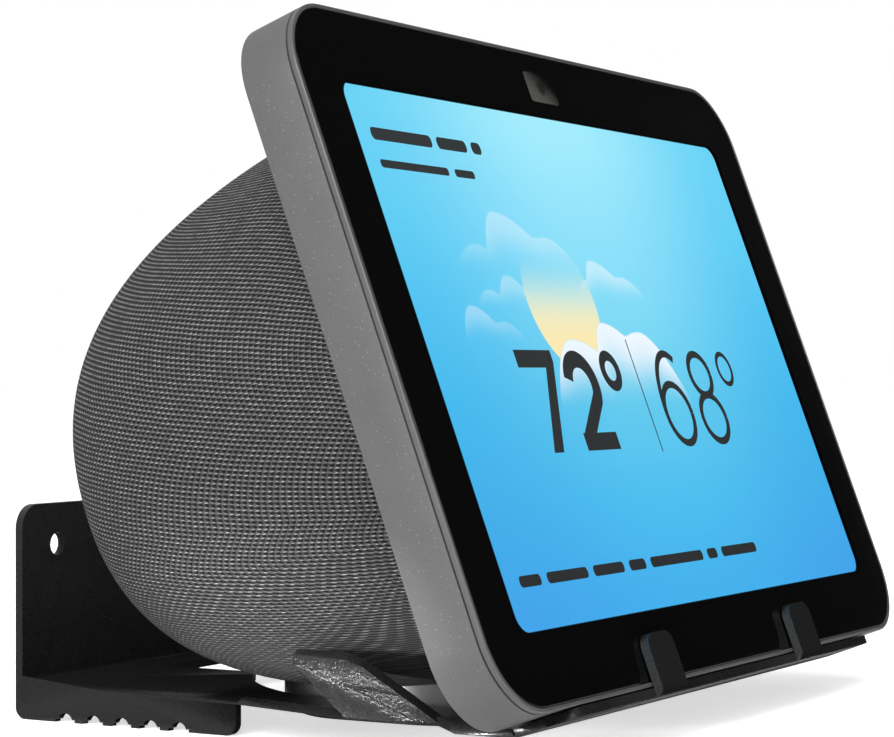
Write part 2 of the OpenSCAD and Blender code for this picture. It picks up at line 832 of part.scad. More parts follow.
wall_bracket();
front_glass();
front_bezel();
lcd_panel();
backlight();
rim();
chassis_plate();
chassis_screws();
rear_shell();
fabric_cover();
port_ring();
power_jack();
power_board();
foot();
foot_pad();
speaker_box();
speaker_box_lid();
left_speaker_frame();
right_speaker_frame();
left_speaker_surround();
right_speaker_surround();
left_speaker_magnet();
right_speaker_magnet();
left_speaker_cone();
right_speaker_cone();
radiator_frame();
radiator_surround();
radiator_plate();
speaker_posts();
main_board();
board_standoffs();
processor();
memory_chips();
shield_can();
heat_sink();
board_connectors();
display_ribbon();
camera_module();
camera_board();
camera_shutter();
volume_up_button();
volume_down_button();
mic_button();
volume_board();
mic_board();
tact_switches();
wifi_antenna();
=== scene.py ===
# %% [markdown]
# A smart display with an eight-inch screen, leaning back in a bent steel wall bracket.
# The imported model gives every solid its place, in metres, with +Z up and the screen facing -Y.
# The origin lies on the wall face of the bracket, midway between its two holes.
# This lesson keeps those solids, softens the ones that are seen, knits the cover and paints everything.

from math import cos, pi, radians, sin

import bmesh
import bpy
import numpy as np
from mathutils import Matrix, Vector


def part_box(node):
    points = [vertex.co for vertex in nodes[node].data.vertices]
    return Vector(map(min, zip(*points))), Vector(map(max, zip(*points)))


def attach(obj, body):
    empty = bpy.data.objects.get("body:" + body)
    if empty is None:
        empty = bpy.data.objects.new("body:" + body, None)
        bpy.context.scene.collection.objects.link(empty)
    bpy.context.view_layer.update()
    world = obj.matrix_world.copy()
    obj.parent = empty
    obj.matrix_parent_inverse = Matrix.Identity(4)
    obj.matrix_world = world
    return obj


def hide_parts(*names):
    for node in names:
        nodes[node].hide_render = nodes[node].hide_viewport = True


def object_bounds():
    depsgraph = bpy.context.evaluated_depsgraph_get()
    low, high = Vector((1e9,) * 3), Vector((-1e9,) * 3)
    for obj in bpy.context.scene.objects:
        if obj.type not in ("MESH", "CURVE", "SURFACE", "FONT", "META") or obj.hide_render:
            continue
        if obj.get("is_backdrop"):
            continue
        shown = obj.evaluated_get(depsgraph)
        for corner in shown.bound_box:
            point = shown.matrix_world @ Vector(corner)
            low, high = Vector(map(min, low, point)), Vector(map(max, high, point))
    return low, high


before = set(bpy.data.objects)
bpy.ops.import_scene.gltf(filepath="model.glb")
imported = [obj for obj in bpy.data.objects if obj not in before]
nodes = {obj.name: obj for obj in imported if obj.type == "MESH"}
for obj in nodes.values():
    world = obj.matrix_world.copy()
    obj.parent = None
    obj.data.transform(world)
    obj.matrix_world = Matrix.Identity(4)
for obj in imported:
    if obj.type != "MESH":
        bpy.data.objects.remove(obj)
cad_low, cad_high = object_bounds()
scene = bpy.context.scene
scene.view_settings.view_transform = "Standard"
MM = 0.001
print("packed nodes:", len(nodes), "box:", [round(side, 4) for side in cad_high - cad_low])

# %% [markdown]
# The front leans back by 20.6 degrees, so most of the work is easier in the screen's own directions.
# We keep its centre, the direction up along the glass and the direction out of it.
# A matrix that turns flat drawings into that plane saves repeating the trigonometry.

# %% The leaning screen's own directions
lean = radians(20.6)
up_screen = Vector((0, sin(lean), cos(lean)))
out_of_glass = Vector((0, -cos(lean), sin(lean)))
front_centre = Vector((0, -113.8, 41.09)) * MM
screen_plane = Matrix.Translation(front_centre) @ Matrix.Rotation(pi / 2 - lean, 4, "X")
glass_low, glass_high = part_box("front_glass")
print("glass centre is off by", round(((glass_low + glass_high) / 2 - front_centre).length / MM, 2), "mm")

# %% [markdown]
# The camera stands low on the left and looks level at the display, with a long lens so that
# the sides hardly converge. A long lens from further away gives the calm look of a product picture.

# %% Camera
camera = bpy.data.objects.new("camera", bpy.data.cameras.new("camera"))
scene.collection.objects.link(camera)
camera.location = (-0.50283, -0.35147, 0.03756)
camera.rotation_euler = Vector((0.872, 0.489, 0)).to_track_quat("-Z", "Y").to_euler()
camera.data.lens = 106.3
camera.data.sensor_width = 36
camera.data.clip_start = 0.02
scene.camera = camera
print("camera distance:", round((front_centre - camera.location).length, 3), "m")

# %% [markdown]
# Shader arithmetic is easier to read as Python than as a drawing of nodes.
# The class below wraps one socket, so that an expression such as 1 - mask adds its Math node,
# and one method makes any other node from its settings and its sockets' values.

# %% A socket that Python can do sums with
class Signal:
    """One output of a material's nodes."""

    def __init__(self, tree, socket=None):
        self.tree = tree
        self.socket = socket

    def node(self, kind, values=None, output=0, **settings):
        made = self.tree.nodes.new("ShaderNode" + kind)
        for name, setting in settings.items():
            if name == "stops":
                ramp = made.color_ramp
                ramp.elements.remove(ramp.elements[1])
                ramp.elements[0].position, ramp.elements[0].color = setting[0]
                for place, colour in setting[1:]:
                    ramp.elements.new(place).color = colour
            else:
                setattr(made, name, setting)
        for key, value in (values or {}).items():
            fill_socket(self.tree, made.inputs[key], value)
        return Signal(self.tree, made.outputs[output])

    def math(self, operation, *others):
        return self.node("Math", dict(enumerate((self, *others))), operation=operation)

    def __add__(self, other):
        return self.math("ADD", other)

    def __sub__(self, other):
        return self.math("SUBTRACT", other)

    def __mul__(self, other):
        return self.math("MULTIPLY", other)

    def __truediv__(self, other):
        return self.math("DIVIDE", other)

    def __rsub__(self, other):
        return self.node("Math", {0: other, 1: self}, operation="SUBTRACT")

    __radd__ = __add__
    __rmul__ = __mul__

    def step(self, low, high):
        """0 below low and 1 above high, with a smooth rise between."""
        limits = {"Value": self, "From Min": low, "From Max": high}
        return self.node("MapRange", limits, interpolation_type="SMOOTHSTEP")

    def pick(self, low, high):
        """The colour low where this is 0 and high where it is 1."""
        return self.node("Mix", {0: self, 6: low, 7: high}, output=2, data_type="RGBA")

    def bump(self, distance, strength=1.0):
        return self.node("Bump", {"Height": self, "Distance": distance * MM, "Strength": strength})


def fill_socket(tree, socket, value):
    if isinstance(value, Signal):
        tree.links.new(value.socket, socket)
    else:
        socket.default_value = value


# %% A paint is one material with its main shader
class Paint:
    """A material whose varying parts are fed to one Principled shader."""

    def __init__(self, name, **constants):
        self.material = bpy.data.materials.new(name)
        self.material.use_nodes = True
        self.tree = self.material.node_tree
        self.shader = self.tree.nodes["Principled BSDF"]
        self.start = Signal(self.tree)
        self.place = self.start.node("TexCoord", output=3)
        self.feed({key.replace("_", " "): value for key, value in constants.items()})

    def feed(self, values):
        for key, value in values.items():
            fill_socket(self.tree, self.shader.inputs[key], value)
        return self.material

    def noise(self, size, detail=2.0, output=0):
        """Cloudy noise whose blobs are about size millimetres across."""
        values = {"Vector": self.place, "Scale": 1 / (size * MM), "Detail": detail}
        return self.start.node("TexNoise", values, output=output)

    def cells(self, size, output=0, vector=None):
        """Distance to the nearest of a scatter of points, size millimetres apart."""
        values = {"Vector": vector or self.place, "Scale": 1 / (size * MM)}
        return self.start.node("TexVoronoi", values, output=output)

    def axes(self):
        """The place's three coordinates, in millimetres."""
        split = self.start.node("SeparateXYZ", {0: self.place})
        outputs = split.socket.node.outputs
        return [Signal(self.tree, output) / MM for output in outputs]


def rgb(red, green, blue):
    """A colour from its screen values, 0 to 255, as the linear colour that shaders use."""
    shares = [channel / 255 for channel in (red, green, blue)]
    return tuple(x / 12.92 if x <= 0.04045 else ((x + 0.055) / 1.055) ** 2.4 for x in shares) + (1,)


def grey(value):
    return (value, value, value, 1)


# %% [markdown]
# Moulded plastic and powder coat have no flat colour when seen close up. Both have a fine grain
# that breaks up reflections, a slow drift in tone, and a scatter of brighter flecks.
# One function with a few sizes covers them all, so their differences stay easy to compare.

# %% Plastic and powder coat
def grained(name, tone, roughness, grain, depth, fleck=0.0, fleck_size=0.5, tint=(1, 1, 1), **constants):
    paint = Paint(name, **constants)
    drift = paint.noise(9, 3)
    fine = paint.noise(grain, 3)
    shade = (drift - 0.5) * 0.16 + (fine - 0.5) * 0.5 + 1
    dark = tuple(tone * share * 0.55 for share in tint) + (1,)
    light = tuple(tone * share * 1.45 for share in tint) + (1,)
    base = (shade - 0.5).step(0.0, 1.0).pick(dark, light)
    if fleck:
        spot = 1 - paint.cells(fleck_size).step(0.06, 0.2)
        chance = paint.start.node("SeparateColor", {0: paint.cells(fleck_size, output=1)}).step(0.72, 0.95)
        base = (spot * chance).pick(base, grey(fleck))
    height = fine + paint.cells(grain * 1.7) * 0.6
    paint.feed({"Base Color": base, "Roughness": (fine - 0.5) * 0.25 + roughness})
    return paint.feed({"Normal": height.bump(depth)})


finishes = {
    "rim_plastic": grained("speckled_rim", 0.08, 0.42, 0.28, 0.012, fleck=0.2, fleck_size=0.8),
    "bezel_plastic": grained("smooth_bezel", 0.075, 0.34, 0.2, 0.004),
    "black_steel": grained("powder_coat", 0.009, 0.3, 0.5, 0.035, fleck=0.03, fleck_size=0.5),
    "dark_plastic": grained("satin_dark_plastic", 0.03, 0.4, 0.3, 0.01),
    "shell_plastic": grained("shell_plastic", 0.045, 0.5, 0.5, 0.02),
    "pad_rubber": grained("soft_rubber", 0.012, 0.75, 0.4, 0.02),
    "connector_plastic": grained("ivory_nylon", 0.55, 0.45, 0.3, 0.006, tint=(1, 0.95, 0.82)),
    "chip": grained("chip_epoxy", 0.025, 0.55, 0.12, 0.006),
    "cone_paper": grained("pressed_paper", 0.05, 0.8, 0.35, 0.05, tint=(1, 0.97, 0.9)),
    "backlight_tray": grained("white_tray", 0.75, 0.4, 0.6, 0.005),
}
print("grained finishes:", ", ".join(finishes))

# %% [markdown]
# Inside, sheet metal is rolled and castings are bead-blasted. Rolling leaves faint parallel lines,
# so the noise is stretched along one direction with a Mapping node. Lines too faint to see one
# by one still spread each highlight, and that is what tells metal from grey plastic.

# %% Metals
def rolled_metal(name, tone, roughness, stretch=(1, 12, 12), size=2.5, depth=0.004, tint=(1, 1, 1)):
    paint = Paint(name, Metallic=1.0)
    scaled = paint.start.node("Mapping", {"Vector": paint.place, "Scale": stretch})
    lines = paint.start.node("TexNoise", {"Vector": scaled, "Scale": 1 / (size * MM), "Detail": 4.0})
    stain = paint.noise(14, 3).step(0.35, 0.75)
    dark = tuple(tone * share * 0.82 for share in tint) + (1,)
    light = tuple(tone * share for share in tint) + (1,)
    paint.feed({"Base Color": (lines * 0.6 + stain * 0.4).pick(dark, light)})
    paint.feed({"Roughness": (lines - 0.5) * 0.3 + stain * 0.08 + roughness})
    return paint.feed({"Normal": lines.bump(depth)})


finishes["chassis_metal"] = rolled_metal("rolled_aluminium", 0.6, 0.32)
finishes["screw_steel"] = rolled_metal("plated_steel", 0.55, 0.25, (1, 1, 1), 0.4)
finishes["tin_shield"] = rolled_metal("tinned_steel", 0.68, 0.2, (1, 10, 10), 1.5)
finishes["sink_metal"] = rolled_metal("extruded_sink", 0.62, 0.38, (10, 1, 1), 1.5)
finishes["brass_posts"] = rolled_metal("turned_brass", 0.65, 0.22, (1, 1, 1), 0.5, tint=(1, 0.8, 0.45))
finishes["speaker_steel"] = rolled_metal("pressed_basket", 0.35, 0.4, (1, 1, 1), 0.8, 0.01)
finishes["magnet_metal"] = rolled_metal("ground_magnet", 0.4, 0.3, (1, 1, 1), 0.6, 0.006)
finishes["shutter_steel"] = rolled_metal("shutter_steel", 0.5, 0.28, (1, 8, 8), 0.8)


# %% Circuit board and flex film
def circuit_board():
    paint = Paint("solder_mask", Roughness=0.35)
    across, _, up = paint.axes()
    lane = (across / 1.4 + up / 1.4).math("FRACT")
    bar = (across / 1.4 - up / 1.4).math("FRACT")
    turn = paint.cells(7.0, output=1)
    choice = paint.start.node("SeparateColor", {0: turn}).step(0.45, 0.5)
    trace = 1 - (choice * lane + (1 - choice) * bar - 0.5).math("ABSOLUTE").step(0.12, 0.2)
    pad = 1 - paint.cells(2.6).step(0.16, 0.2)
    mask = trace.pick((0.008, 0.07, 0.035, 1), (0.015, 0.12, 0.06, 1))
    paint.feed({"Base Color": pad.pick(mask, (0.6, 0.55, 0.4, 1)), "Metallic": pad * 0.9})
    return paint.feed({"Normal": (trace + pad).bump(0.03)})


def flex_film():
    paint = Paint("amber_film", Roughness=0.3)
    across, _, _ = paint.axes()
    track = ((across / 0.8).math("FRACT") - 0.5).math("ABSOLUTE").step(0.2, 0.28)
    colour = track.pick((0.42, 0.2, 0.04, 1), (0.62, 0.36, 0.1, 1))
    paint.feed({"Base Color": colour})
    return paint.feed({"Normal": track.bump(0.02)})


def lens_glass():
    paint = Paint("dark_lens", Roughness=0.12, Coat_Weight=1.0, Coat_Roughness=0.03)
    tone = paint.noise(3, 2).step(0.3, 0.7).pick((0.004, 0.005, 0.007, 1), (0.012, 0.013, 0.016, 1))
    return paint.feed({"Base Color": tone})


finishes["board"] = circuit_board()
finishes["flex_film"] = flex_film()
finishes["lens_black"] = lens_glass()
print("finishes so far:", len(finishes))

# %% [markdown]
# The lit picture is a weather page: a blue sky that is lighter in the middle, a low sun and five
# banks of cloud. It could be built from flat cut-outs, but a sky needs soft edges, so the picture
# is worked out in the panel's own material. Each cloud is a few rounded hills, opaque at the top
# edge and fading to nothing below, as on many weather screens. Distances are in millimetres from
# the middle of the lit area, u to the right and v up.

# %% Sky, sun and clouds on the panel
SKY_LEVELS = (-50, -30, -10, 10, 30, 50)
SKY_SIDES = (
    (66, 164, 234), (66, 175, 233), (70, 185, 237),
    (83, 195, 241), (98, 206, 244), (107, 211, 246),
)
SKY_MIDDLE = (
    (67, 177, 236), (77, 191, 239), (101, 203, 238),
    (129, 219, 246), (146, 226, 251), (163, 236, 253),
)
FAR_CLOUDS = (
    (17, 10, ((-41, 30.5, 6, 40), (-21, 25.8, 60, 20), (-52, 23, 24, 16)), 0.4),
    (9, 6, ((-44, 16.7, 6, 14), (-53, 13.5, 12, 14)), 0.35),
    (2, 7, ((-62.8, 10, 5, 18), (-51.5, 6.8, 20, 16)), 0.35),
    (12, 7, ((-3.5, 21.4, 4, 26), (9, 18, 20, 20), (-8.6, 16.8, 8, 8)), 0.6),
)
NEAR_CLOUD = (-12, 12, ((-24.5, 3.4, 14, 40), (-8.2, 7.3, 5, 30), (8.5, 5.4, 40, 16)))
SUN_AT = (-23.1, 11.5)
SUN_RADIUS = 15.3
picture_centre = front_centre - 0.5 * MM * up_screen


def along(paint, direction):
    """How far a point lies from the picture's centre in one direction, in millimetres."""
    away = paint.start.node("VectorMath", {0: paint.place, 1: picture_centre}, operation="SUBTRACT")
    values = {0: away, 1: Vector(direction) / MM}
    return paint.start.node("VectorMath", values, output=1, operation="DOT_PRODUCT")


def cloud_depth(u, v, hills):
    """How far below the cloud's top edge a point lies; each hill may be steeper on one side."""
    top = None
    for middle, peak, left, right in hills:
        away = u - middle
        spread = away.math("GREATER_THAN", 0.0) * (right - left) + left
        hill = peak - away * away / spread
        top = hill if top is None else top.node("Math", {0: top, 1: hill, 2: 2.0}, operation="SMOOTH_MAX")
    return top - v


def cloud(v, depth, base, height):
    """How much of the sky a cloud hides: most at its top edge, nothing below its base."""
    inside = depth.step(-0.15, 0.4)
    thinner = 1 - depth.step(0, height * 1.3) * 0.8
    return inside * thinner * ((v - base) / height).step(0.0, 1.0)


def lit_picture():
    paint = Paint("lit_panel", Roughness=0.6, Specular_IOR_Level=0.1, Base_Color=grey(0.0))
    paint.feed({"Emission Strength": 1.11})
    u = along(paint, (1, 0, 0))
    v = along(paint, up_screen)
    level = {0: (v + 50) / 100}
    places = [(height + 50) / 100 for height in SKY_LEVELS]
    sides = paint.start.node("ValToRGB", level, stops=[(p, rgb(*c)) for p, c in zip(places, SKY_SIDES)])
    middle = paint.start.node("ValToRGB", level, stops=[(p, rgb(*c)) for p, c in zip(places, SKY_MIDDLE)])
    sky = u.math("ABSOLUTE").step(5, 86).pick(middle, sides)
    for base, height, hills, strength in FAR_CLOUDS:
        veil = cloud(v, cloud_depth(u, v, hills), base, height)
        sky = (veil * strength).pick(sky, rgb(222, 246, 255))
    base, height, hills = NEAR_CLOUD
    depth = cloud_depth(u, v, hills)
    from_sun = ((u - SUN_AT[0]) * (u - SUN_AT[0]) + (v - SUN_AT[1]) * (v - SUN_AT[1])).math("SQRT")
    disc = (SUN_RADIUS - from_sun).step(-0.2, 0.3) * (1 - depth.step(-0.15, 0.4))
    sun_colour = (v - 1).step(0, 16).pick(rgb(255, 234, 174), rgb(222, 238, 214))
    sky = (disc * (1 - (v - 7).step(0, 15)) * 0.97).pick(sky, sun_colour)
    sky = (cloud(v, depth, base, height) * 0.97).pick(sky, rgb(240, 248, 255))
    return paint.feed({"Emission Color": sky})


finishes["panel"] = lit_picture()
print("picture made with", len(finishes["panel"].node_tree.nodes), "nodes")

# %% [markdown]
# The cover glass is one black-printed sheet with a clear window over the picture. The print is on
# the back of real glass, so the border is deep black under a hard gloss. Modelling print and glass
# apart would add a second surface a hair behind the first, so one sheet carries both: its
# see-through share follows the window's outline.

# %% Cover glass
WINDOW = (172.3 / 2, 107.7 / 2)
WINDOW_CORNER = 3.5
CAMERA_WINDOW = (6.4, 3.5)
CAMERA_UP = 60.8


def outside_box(u, v, half, corner):
    """0 inside a box with round corners and 1 outside it, with a hair of blur."""
    across = (u.math("ABSOLUTE") - (half[0] - corner)).math("MAXIMUM", 0.0)
    up = (v.math("ABSOLUTE") - (half[1] - corner)).math("MAXIMUM", 0.0)
    return ((across * across + up * up).math("SQRT") - corner).step(-0.12, 0.12)


def cover_glass():
    paint = Paint("cover_glass", Specular_IOR_Level=0.3)
    u = along(paint, (1, 0, 0))
    v = along(paint, up_screen)
    border = outside_box(u, v, WINDOW, WINDOW_CORNER)
    camera_v = v - CAMERA_UP
    pane = 1 - outside_box(u, camera_v, CAMERA_WINDOW, 1.0)
    # Painted light: the camera window is lighter towards the bottom left, and the lens is a darker disc
    # inside it.
    painted_window_light = (u * -0.1 - camera_v * 0.17 + 0.75).step(0.0, 1.5)
    lens = 1 - ((u * u + camera_v * camera_v).math("SQRT")).step(1.5, 1.9)
    shade = (painted_window_light * (1 - lens * 0.6)).pick(grey(0.004), (0.1, 0.104, 0.09, 1))
    smear = paint.noise(28, 4).step(0.35, 0.8)
    paint.feed({"Base Color": pane.pick(grey(0.002), shade), "Roughness": smear * 0.05 + 0.035})
    return paint.feed({"Alpha": (border - pane * 0.25) * 0.95 + 0.05})


finishes["black_glass"] = cover_glass()

# %% [markdown]
# The cover is knitted like a sock, in rows of small round loops. Each loop shows a hole darkened with
# painted shade and a slanted strand above it brightened with a painted highlight, and the next row sits
# part of a loop further on. Modelling a hundred thousand loops would be slow, so one loop is drawn in the
# fabric's own flat coordinates, in millimetres, and repeated by taking the fraction of the row and of the
# place along it.

# %% Knit
ROW = 0.95
LOOP = 1.28


def knitted():
    paint = Paint("charcoal_knit", Roughness=0.85, Specular_IOR_Level=0.25)
    flat = paint.start.node("UVMap", uv_map="fabric")
    waver = paint.noise(16, 2) * 0.5
    split = paint.start.node("SeparateXYZ", {0: flat}).socket.node.outputs
    across, up = (Signal(paint.tree, split[i]) for i in (0, 1))
    row = up / ROW + waver
    line = row.math("FLOOR")
    place = across / LOOP + line * 0.42
    x = place.math("FRACT") - 0.5
    y = row.math("FRACT") - 0.5
    cell = paint.start.node("CombineXYZ", {0: place.math("FLOOR"), 1: line})
    chance = paint.start.node("TexWhiteNoise", {"Vector": cell})
    strand_x = (x + y * -0.45 + 0.12) / 0.43
    strand_y = (y + x * 0.45 - 0.28) / 0.17
    strand = 1 - (strand_x * strand_x + strand_y * strand_y).step(0.25, 1.15)
    hole_x = x / 0.47
    hole_y = (y + 0.1) / 0.44
    hole = 1 - (hole_x * hole_x + hole_y * hole_y).step(0.45, 1.15)
    fibre = paint.noise(0.12, 2)
    melange = paint.noise(2.2, 3).step(0.3, 0.7)
    yarn = fibre.step(0.25, 0.75).pick(grey(0.045), grey(0.1))
    # Painted highlight on each strand, with a tone that also varies at random from loop to loop.
    lit = (fibre * 0.3 + melange * 0.2 + chance * 0.6).pick(grey(0.07), grey(0.56))
    colour = strand.pick(yarn, lit)
    # Painted shade: each hole between the loops is darkened almost to black.
    colour = (hole * (1 - strand * 0.7)).pick(colour, grey(0.005))
    height = strand * 0.8 - hole + fibre * 0.2
    paint.feed({"Base Color": colour, "Roughness": 0.92 - strand * 0.22})
    return paint.feed({"Normal": height.bump(0.3)})


finishes["knit"] = knitted()
print("finishes for the nodes:", len(finishes))

# %% [markdown]
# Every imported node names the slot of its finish, so one loop paints them all.
# Nodes that nobody sees from outside get their finish too, because the part may be taken apart.

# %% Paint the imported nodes
slot_of = {name: node.material_slots[0].material.name for name, node in nodes.items()}
for name, node in nodes.items():
    node.material_slots[0].material = finishes[slot_of[name]]
print("painted nodes:", len(nodes))

# %% [markdown]
# The cover is pulled over the shell from the back and clings to it. A grid laid over a round map of
# the body, from the rim at the map's edge to the power port in its middle, keeps the rows of the
# knit running along the body as they do on a real sock. The rows rise a little towards the rear.
# Along every direction of the map the grid is spaced by real length, and those lengths become the
# fabric's flat coordinates, so no loop is stretched.

# %% The body's surface
BODY_HALF, BODY_TOP, BODY_BOTTOM = 98.2, 65.5, 63.5
SQUARENESS = 2.2
SIDE_FULL, TOP_FULL, BOTTOM_FULL = 4.2, 2.7, 1.5
BODY_DEPTH = 85.3
PORT_RADIUS = 11.0
PORT_SHARE = 0.09
ROW_RISE = 0.45
rim_centre = front_centre - 11.9 * MM * out_of_glass
to_rear = Vector((0, 79, -32.3)) * MM


def body_outline(angle):
    """The body's edge at the rim, and how full the body is in that direction."""
    high = BODY_TOP if sin(angle) >= 0 else BODY_BOTTOM
    edge = [abs(part) ** (2 / SQUARENESS) * (1 if part >= 0 else -1) for part in (cos(angle), sin(angle))]
    full = TOP_FULL if sin(angle) >= 0 else BOTTOM_FULL
    return edge[0] * BODY_HALF, edge[1] * high, cos(angle) ** 2 * SIDE_FULL + sin(angle) ** 2 * full


def meridian(angle):
    """Points from the port to the rim, evenly spaced: how narrow and how deep each one is."""
    across, up, full = body_outline(angle)
    size = float(np.hypot(across, up))
    turn = np.linspace(0, pi / 2, 240)
    narrow = np.cos(turn) ** (2 / full)
    deep = np.sin(turn) ** (2 / full)
    kept = narrow * size >= PORT_RADIUS
    narrow = np.append(narrow[kept], PORT_RADIUS / size)
    deep = np.append(deep[kept], (1 - (PORT_RADIUS / size) ** full) ** (1 / full))
    steps = np.hypot(np.diff(narrow * size), np.diff(deep * BODY_DEPTH))
    length = np.append(0, np.cumsum(steps))
    return across, up, narrow, deep, length


# %% Knitted cover
def cover_point(q, s):
    """Where a point of the square grid lies on the body, and whether it lies in the port."""
    across = q * max(0.0, 1 - s * s) ** 0.5
    up = (-1 + (1 + 4 * ROW_RISE * (s + ROW_RISE * (1 - across * across))) ** 0.5) / (2 * ROW_RISE)
    share = min(1.0, float(np.hypot(across, up)))
    edge_across, edge_up, narrow, deep, length = meridian(float(np.arctan2(up, across)))
    reach = (1 - max(share, PORT_SHARE)) / (1 - PORT_SHARE) * length[-1]
    thin = float(np.interp(reach, length, narrow))
    far = float(np.interp(reach, length, deep))
    flat = thin * (edge_across * Vector((1, 0, 0)) + edge_up * up_screen) * MM
    return rim_centre + flat + far * to_rear, share <= PORT_SHARE


def knitted_cover():
    work = bmesh.new()
    bmesh.ops.create_grid(work, x_segments=176, y_segments=112, size=1)
    lattice = sorted(work.verts, key=lambda vert: (round(vert.co.y, 5), vert.co.x))
    rows = len({round(vert.co.y, 5) for vert in lattice})
    columns = len(lattice) // rows
    inside = set()
    for vert in lattice:
        vert.co, in_port = cover_point(vert.co.x, vert.co.y)
        if in_port:
            inside.add(vert)
    place = np.array([vert.co for vert in lattice]).reshape(rows, columns, 3) / MM
    along_row = np.cumsum(np.linalg.norm(np.diff(place, axis=1, prepend=place[:, :1]), axis=2), axis=1)
    along_row -= along_row[:, columns // 2 : columns // 2 + 1]
    up_column = np.cumsum(np.linalg.norm(np.diff(place, axis=0, prepend=place[:1]), axis=2), axis=0)
    up_column -= up_column[rows // 2 : rows // 2 + 1]
    flat = {v: (a, b) for v, a, b in zip(lattice, along_row.ravel(), up_column.ravel())}
    fabric = work.loops.layers.uv.new("fabric")
    for face in work.faces:
        face.smooth = True
        for loop in face.loops:
            loop[fabric].uv = flat[loop.vert]
    hole = [face for face in work.faces if all(vert in inside for vert in face.verts)]
    bmesh.ops.delete(work, geom=hole, context="FACES")
    bmesh.ops.remove_doubles(work, verts=work.verts[:], dist=0.01 * MM)
    return work


def add_piece(name, work, stands_for, body="display"):
    """Turn a finished bmesh into an object with the finish, body and place of the nodes it stands for."""
    mesh = bpy.data.meshes.new(name)
    work.to_mesh(mesh)
    work.free()
    mesh.materials.append(finishes[slot_of[stands_for[0]]])
    piece = bpy.data.objects.new(name, mesh)
    scene.collection.objects.link(piece)
    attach(piece, body)
    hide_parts(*stands_for)
    return piece


cover = add_piece("knitted_cover", knitted_cover(), ["fabric_cover"])
wall = cover.modifiers.new("cloth thickness", "SOLIDIFY")
wall.thickness = 1.0 * MM
wall.offset = -1

# %% [markdown]
# Nothing real has a perfectly sharp edge. Each seen part starts from a merged copy of its packed
# solid, whose flat faces are joined up again, and every sharp edge is bevelled. The narrow bevels
# catch the light as thin bright lines, which is most of what makes moulded and bent parts look real.

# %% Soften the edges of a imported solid
def merged_copy(node):
    work = bmesh.new()
    work.from_mesh(nodes[node].data)
    bmesh.ops.remove_doubles(work, verts=work.verts[:], dist=0.02 * MM)
    bmesh.ops.dissolve_limit(work, angle_limit=radians(0.6), verts=work.verts[:], edges=work.edges[:])
    return work


def round_edges(work, edges, width, segments=2, clamp=True):
    bmesh.ops.bevel(
        work,
        geom=edges,
        offset=width * MM,
        offset_type="OFFSET",
        segments=segments,
        profile=0.5,
        affect="EDGES",
        clamp_overlap=clamp,
        material=-1,
    )


def sharp_edges(work, angle=38):
    return [edge for edge in work.edges if edge.is_manifold and edge.calc_face_angle() > radians(angle)]


def shade_by_angle(piece, angle=32):
    for face in piece.data.polygons:
        face.use_smooth = True
    piece.data.set_sharp_from_angle(angle=radians(angle))


def softened(node, name, width, segments=2, body="display"):
    work = merged_copy(node)
    round_edges(work, sharp_edges(work), width, segments)
    piece = add_piece(name, work, [node], body)
    shade_by_angle(piece)
    print(name, "faces:", len(piece.data.polygons))
    return piece


softened("rim", "housing_rim", 0.35, 3)
softened("front_bezel", "bezel_frame", 0.22, 2)
softened("front_glass", "cover_sheet", 0.18, 2)
softened("foot", "standing_foot", 0.9, 3)
softened("foot_pad", "foot_tread", 0.4, 2)
softened("port_ring", "port_surround", 0.3, 2)
softened("power_jack", "power_socket", 0.15, 2)
softened("camera_shutter", "shutter_slider", 0.12, 2, "shutter")
softened("volume_up_button", "volume_up_cap", 0.35, 3, "volume_up_button")
softened("volume_down_button", "volume_down_cap", 0.35, 3, "volume_down_button")
softened("mic_button", "mic_cap", 0.35, 3, "mic_button")

# %% [markdown]
# The bracket is one sheet of steel, bent in a press. Where it bends the outside stretches round a
# radius a little larger than the sheet is thick, so those edges get a wide bevel first, found by
# where they lie. The cut edges then get a narrow one, as paint rounds them.

# %% Bends and cut edges of the bracket
SHEET = 1.8
PLATE_TOP = -28.0
PLATE_UNDER = PLATE_TOP - SHEET
PLATE_SIDE = 62.0
CLOSE = 0.05
BENDS = (
    (2.4, lambda at: abs(at.y) < CLOSE and abs(at.z - PLATE_UNDER) < CLOSE),
    (0.9, lambda at: abs(at.y + SHEET) < CLOSE and abs(at.z - PLATE_TOP) < CLOSE),
    (2.2, lambda at: abs(abs(at.x) - PLATE_SIDE) < CLOSE and abs(at.z - PLATE_TOP) < CLOSE),
    (0.9, lambda at: abs(abs(at.x) - PLATE_SIDE + SHEET) < CLOSE and abs(at.z - PLATE_UNDER) < CLOSE),
)


def bent_bracket():
    work = merged_copy("wall_bracket")
    for width, lies_there in BENDS:
        bend = [edge for edge in sharp_edges(work) if all(lies_there(vert.co / MM) for vert in edge.verts)]
        print("bend of", width, "mm along", len(bend), "edges")
        round_edges(work, bend, width, 5, False)
    cut = [edge for edge in sharp_edges(work, 50) if edge.calc_length() > 0.05 * MM]
    round_edges(work, cut, 0.28, 2)
    return work


bracket = add_piece("bent_bracket", bent_bracket(), ["wall_bracket"], "bracket")
shade_by_angle(bracket, 40)
print("bracket faces:", len(bracket.data.polygons))

# %% [markdown]
# The figures on the screen are generic temperatures, one pair bold and one thin. A font would bring
# its own widths, so most figures are a few pen strokes: arcs of ellipses and straight lines. A stroke
# is a curve with a round section, made a mesh, pressed flat and laid just in front of the panel.
# The bold seven has square ends, which a round pen can't draw, so it is one flat face.
# The lines of writing become plain rounded bars, as on a drawing where the words don't matter.

# %% Ink for the screen's figures
def screen_ink():
    paint = Paint("screen_ink", Roughness=0.7, Specular_IOR_Level=0.1, Base_Color=grey(0.0))
    shade = along(paint, up_screen) / 100 + 0.5
    paint.feed({"Emission Strength": 1.0})
    return paint.feed({"Emission Color": shade.pick(rgb(44, 46, 48), rgb(54, 58, 60))})


finishes["ink"] = screen_ink()
INK_LEVEL = -0.76


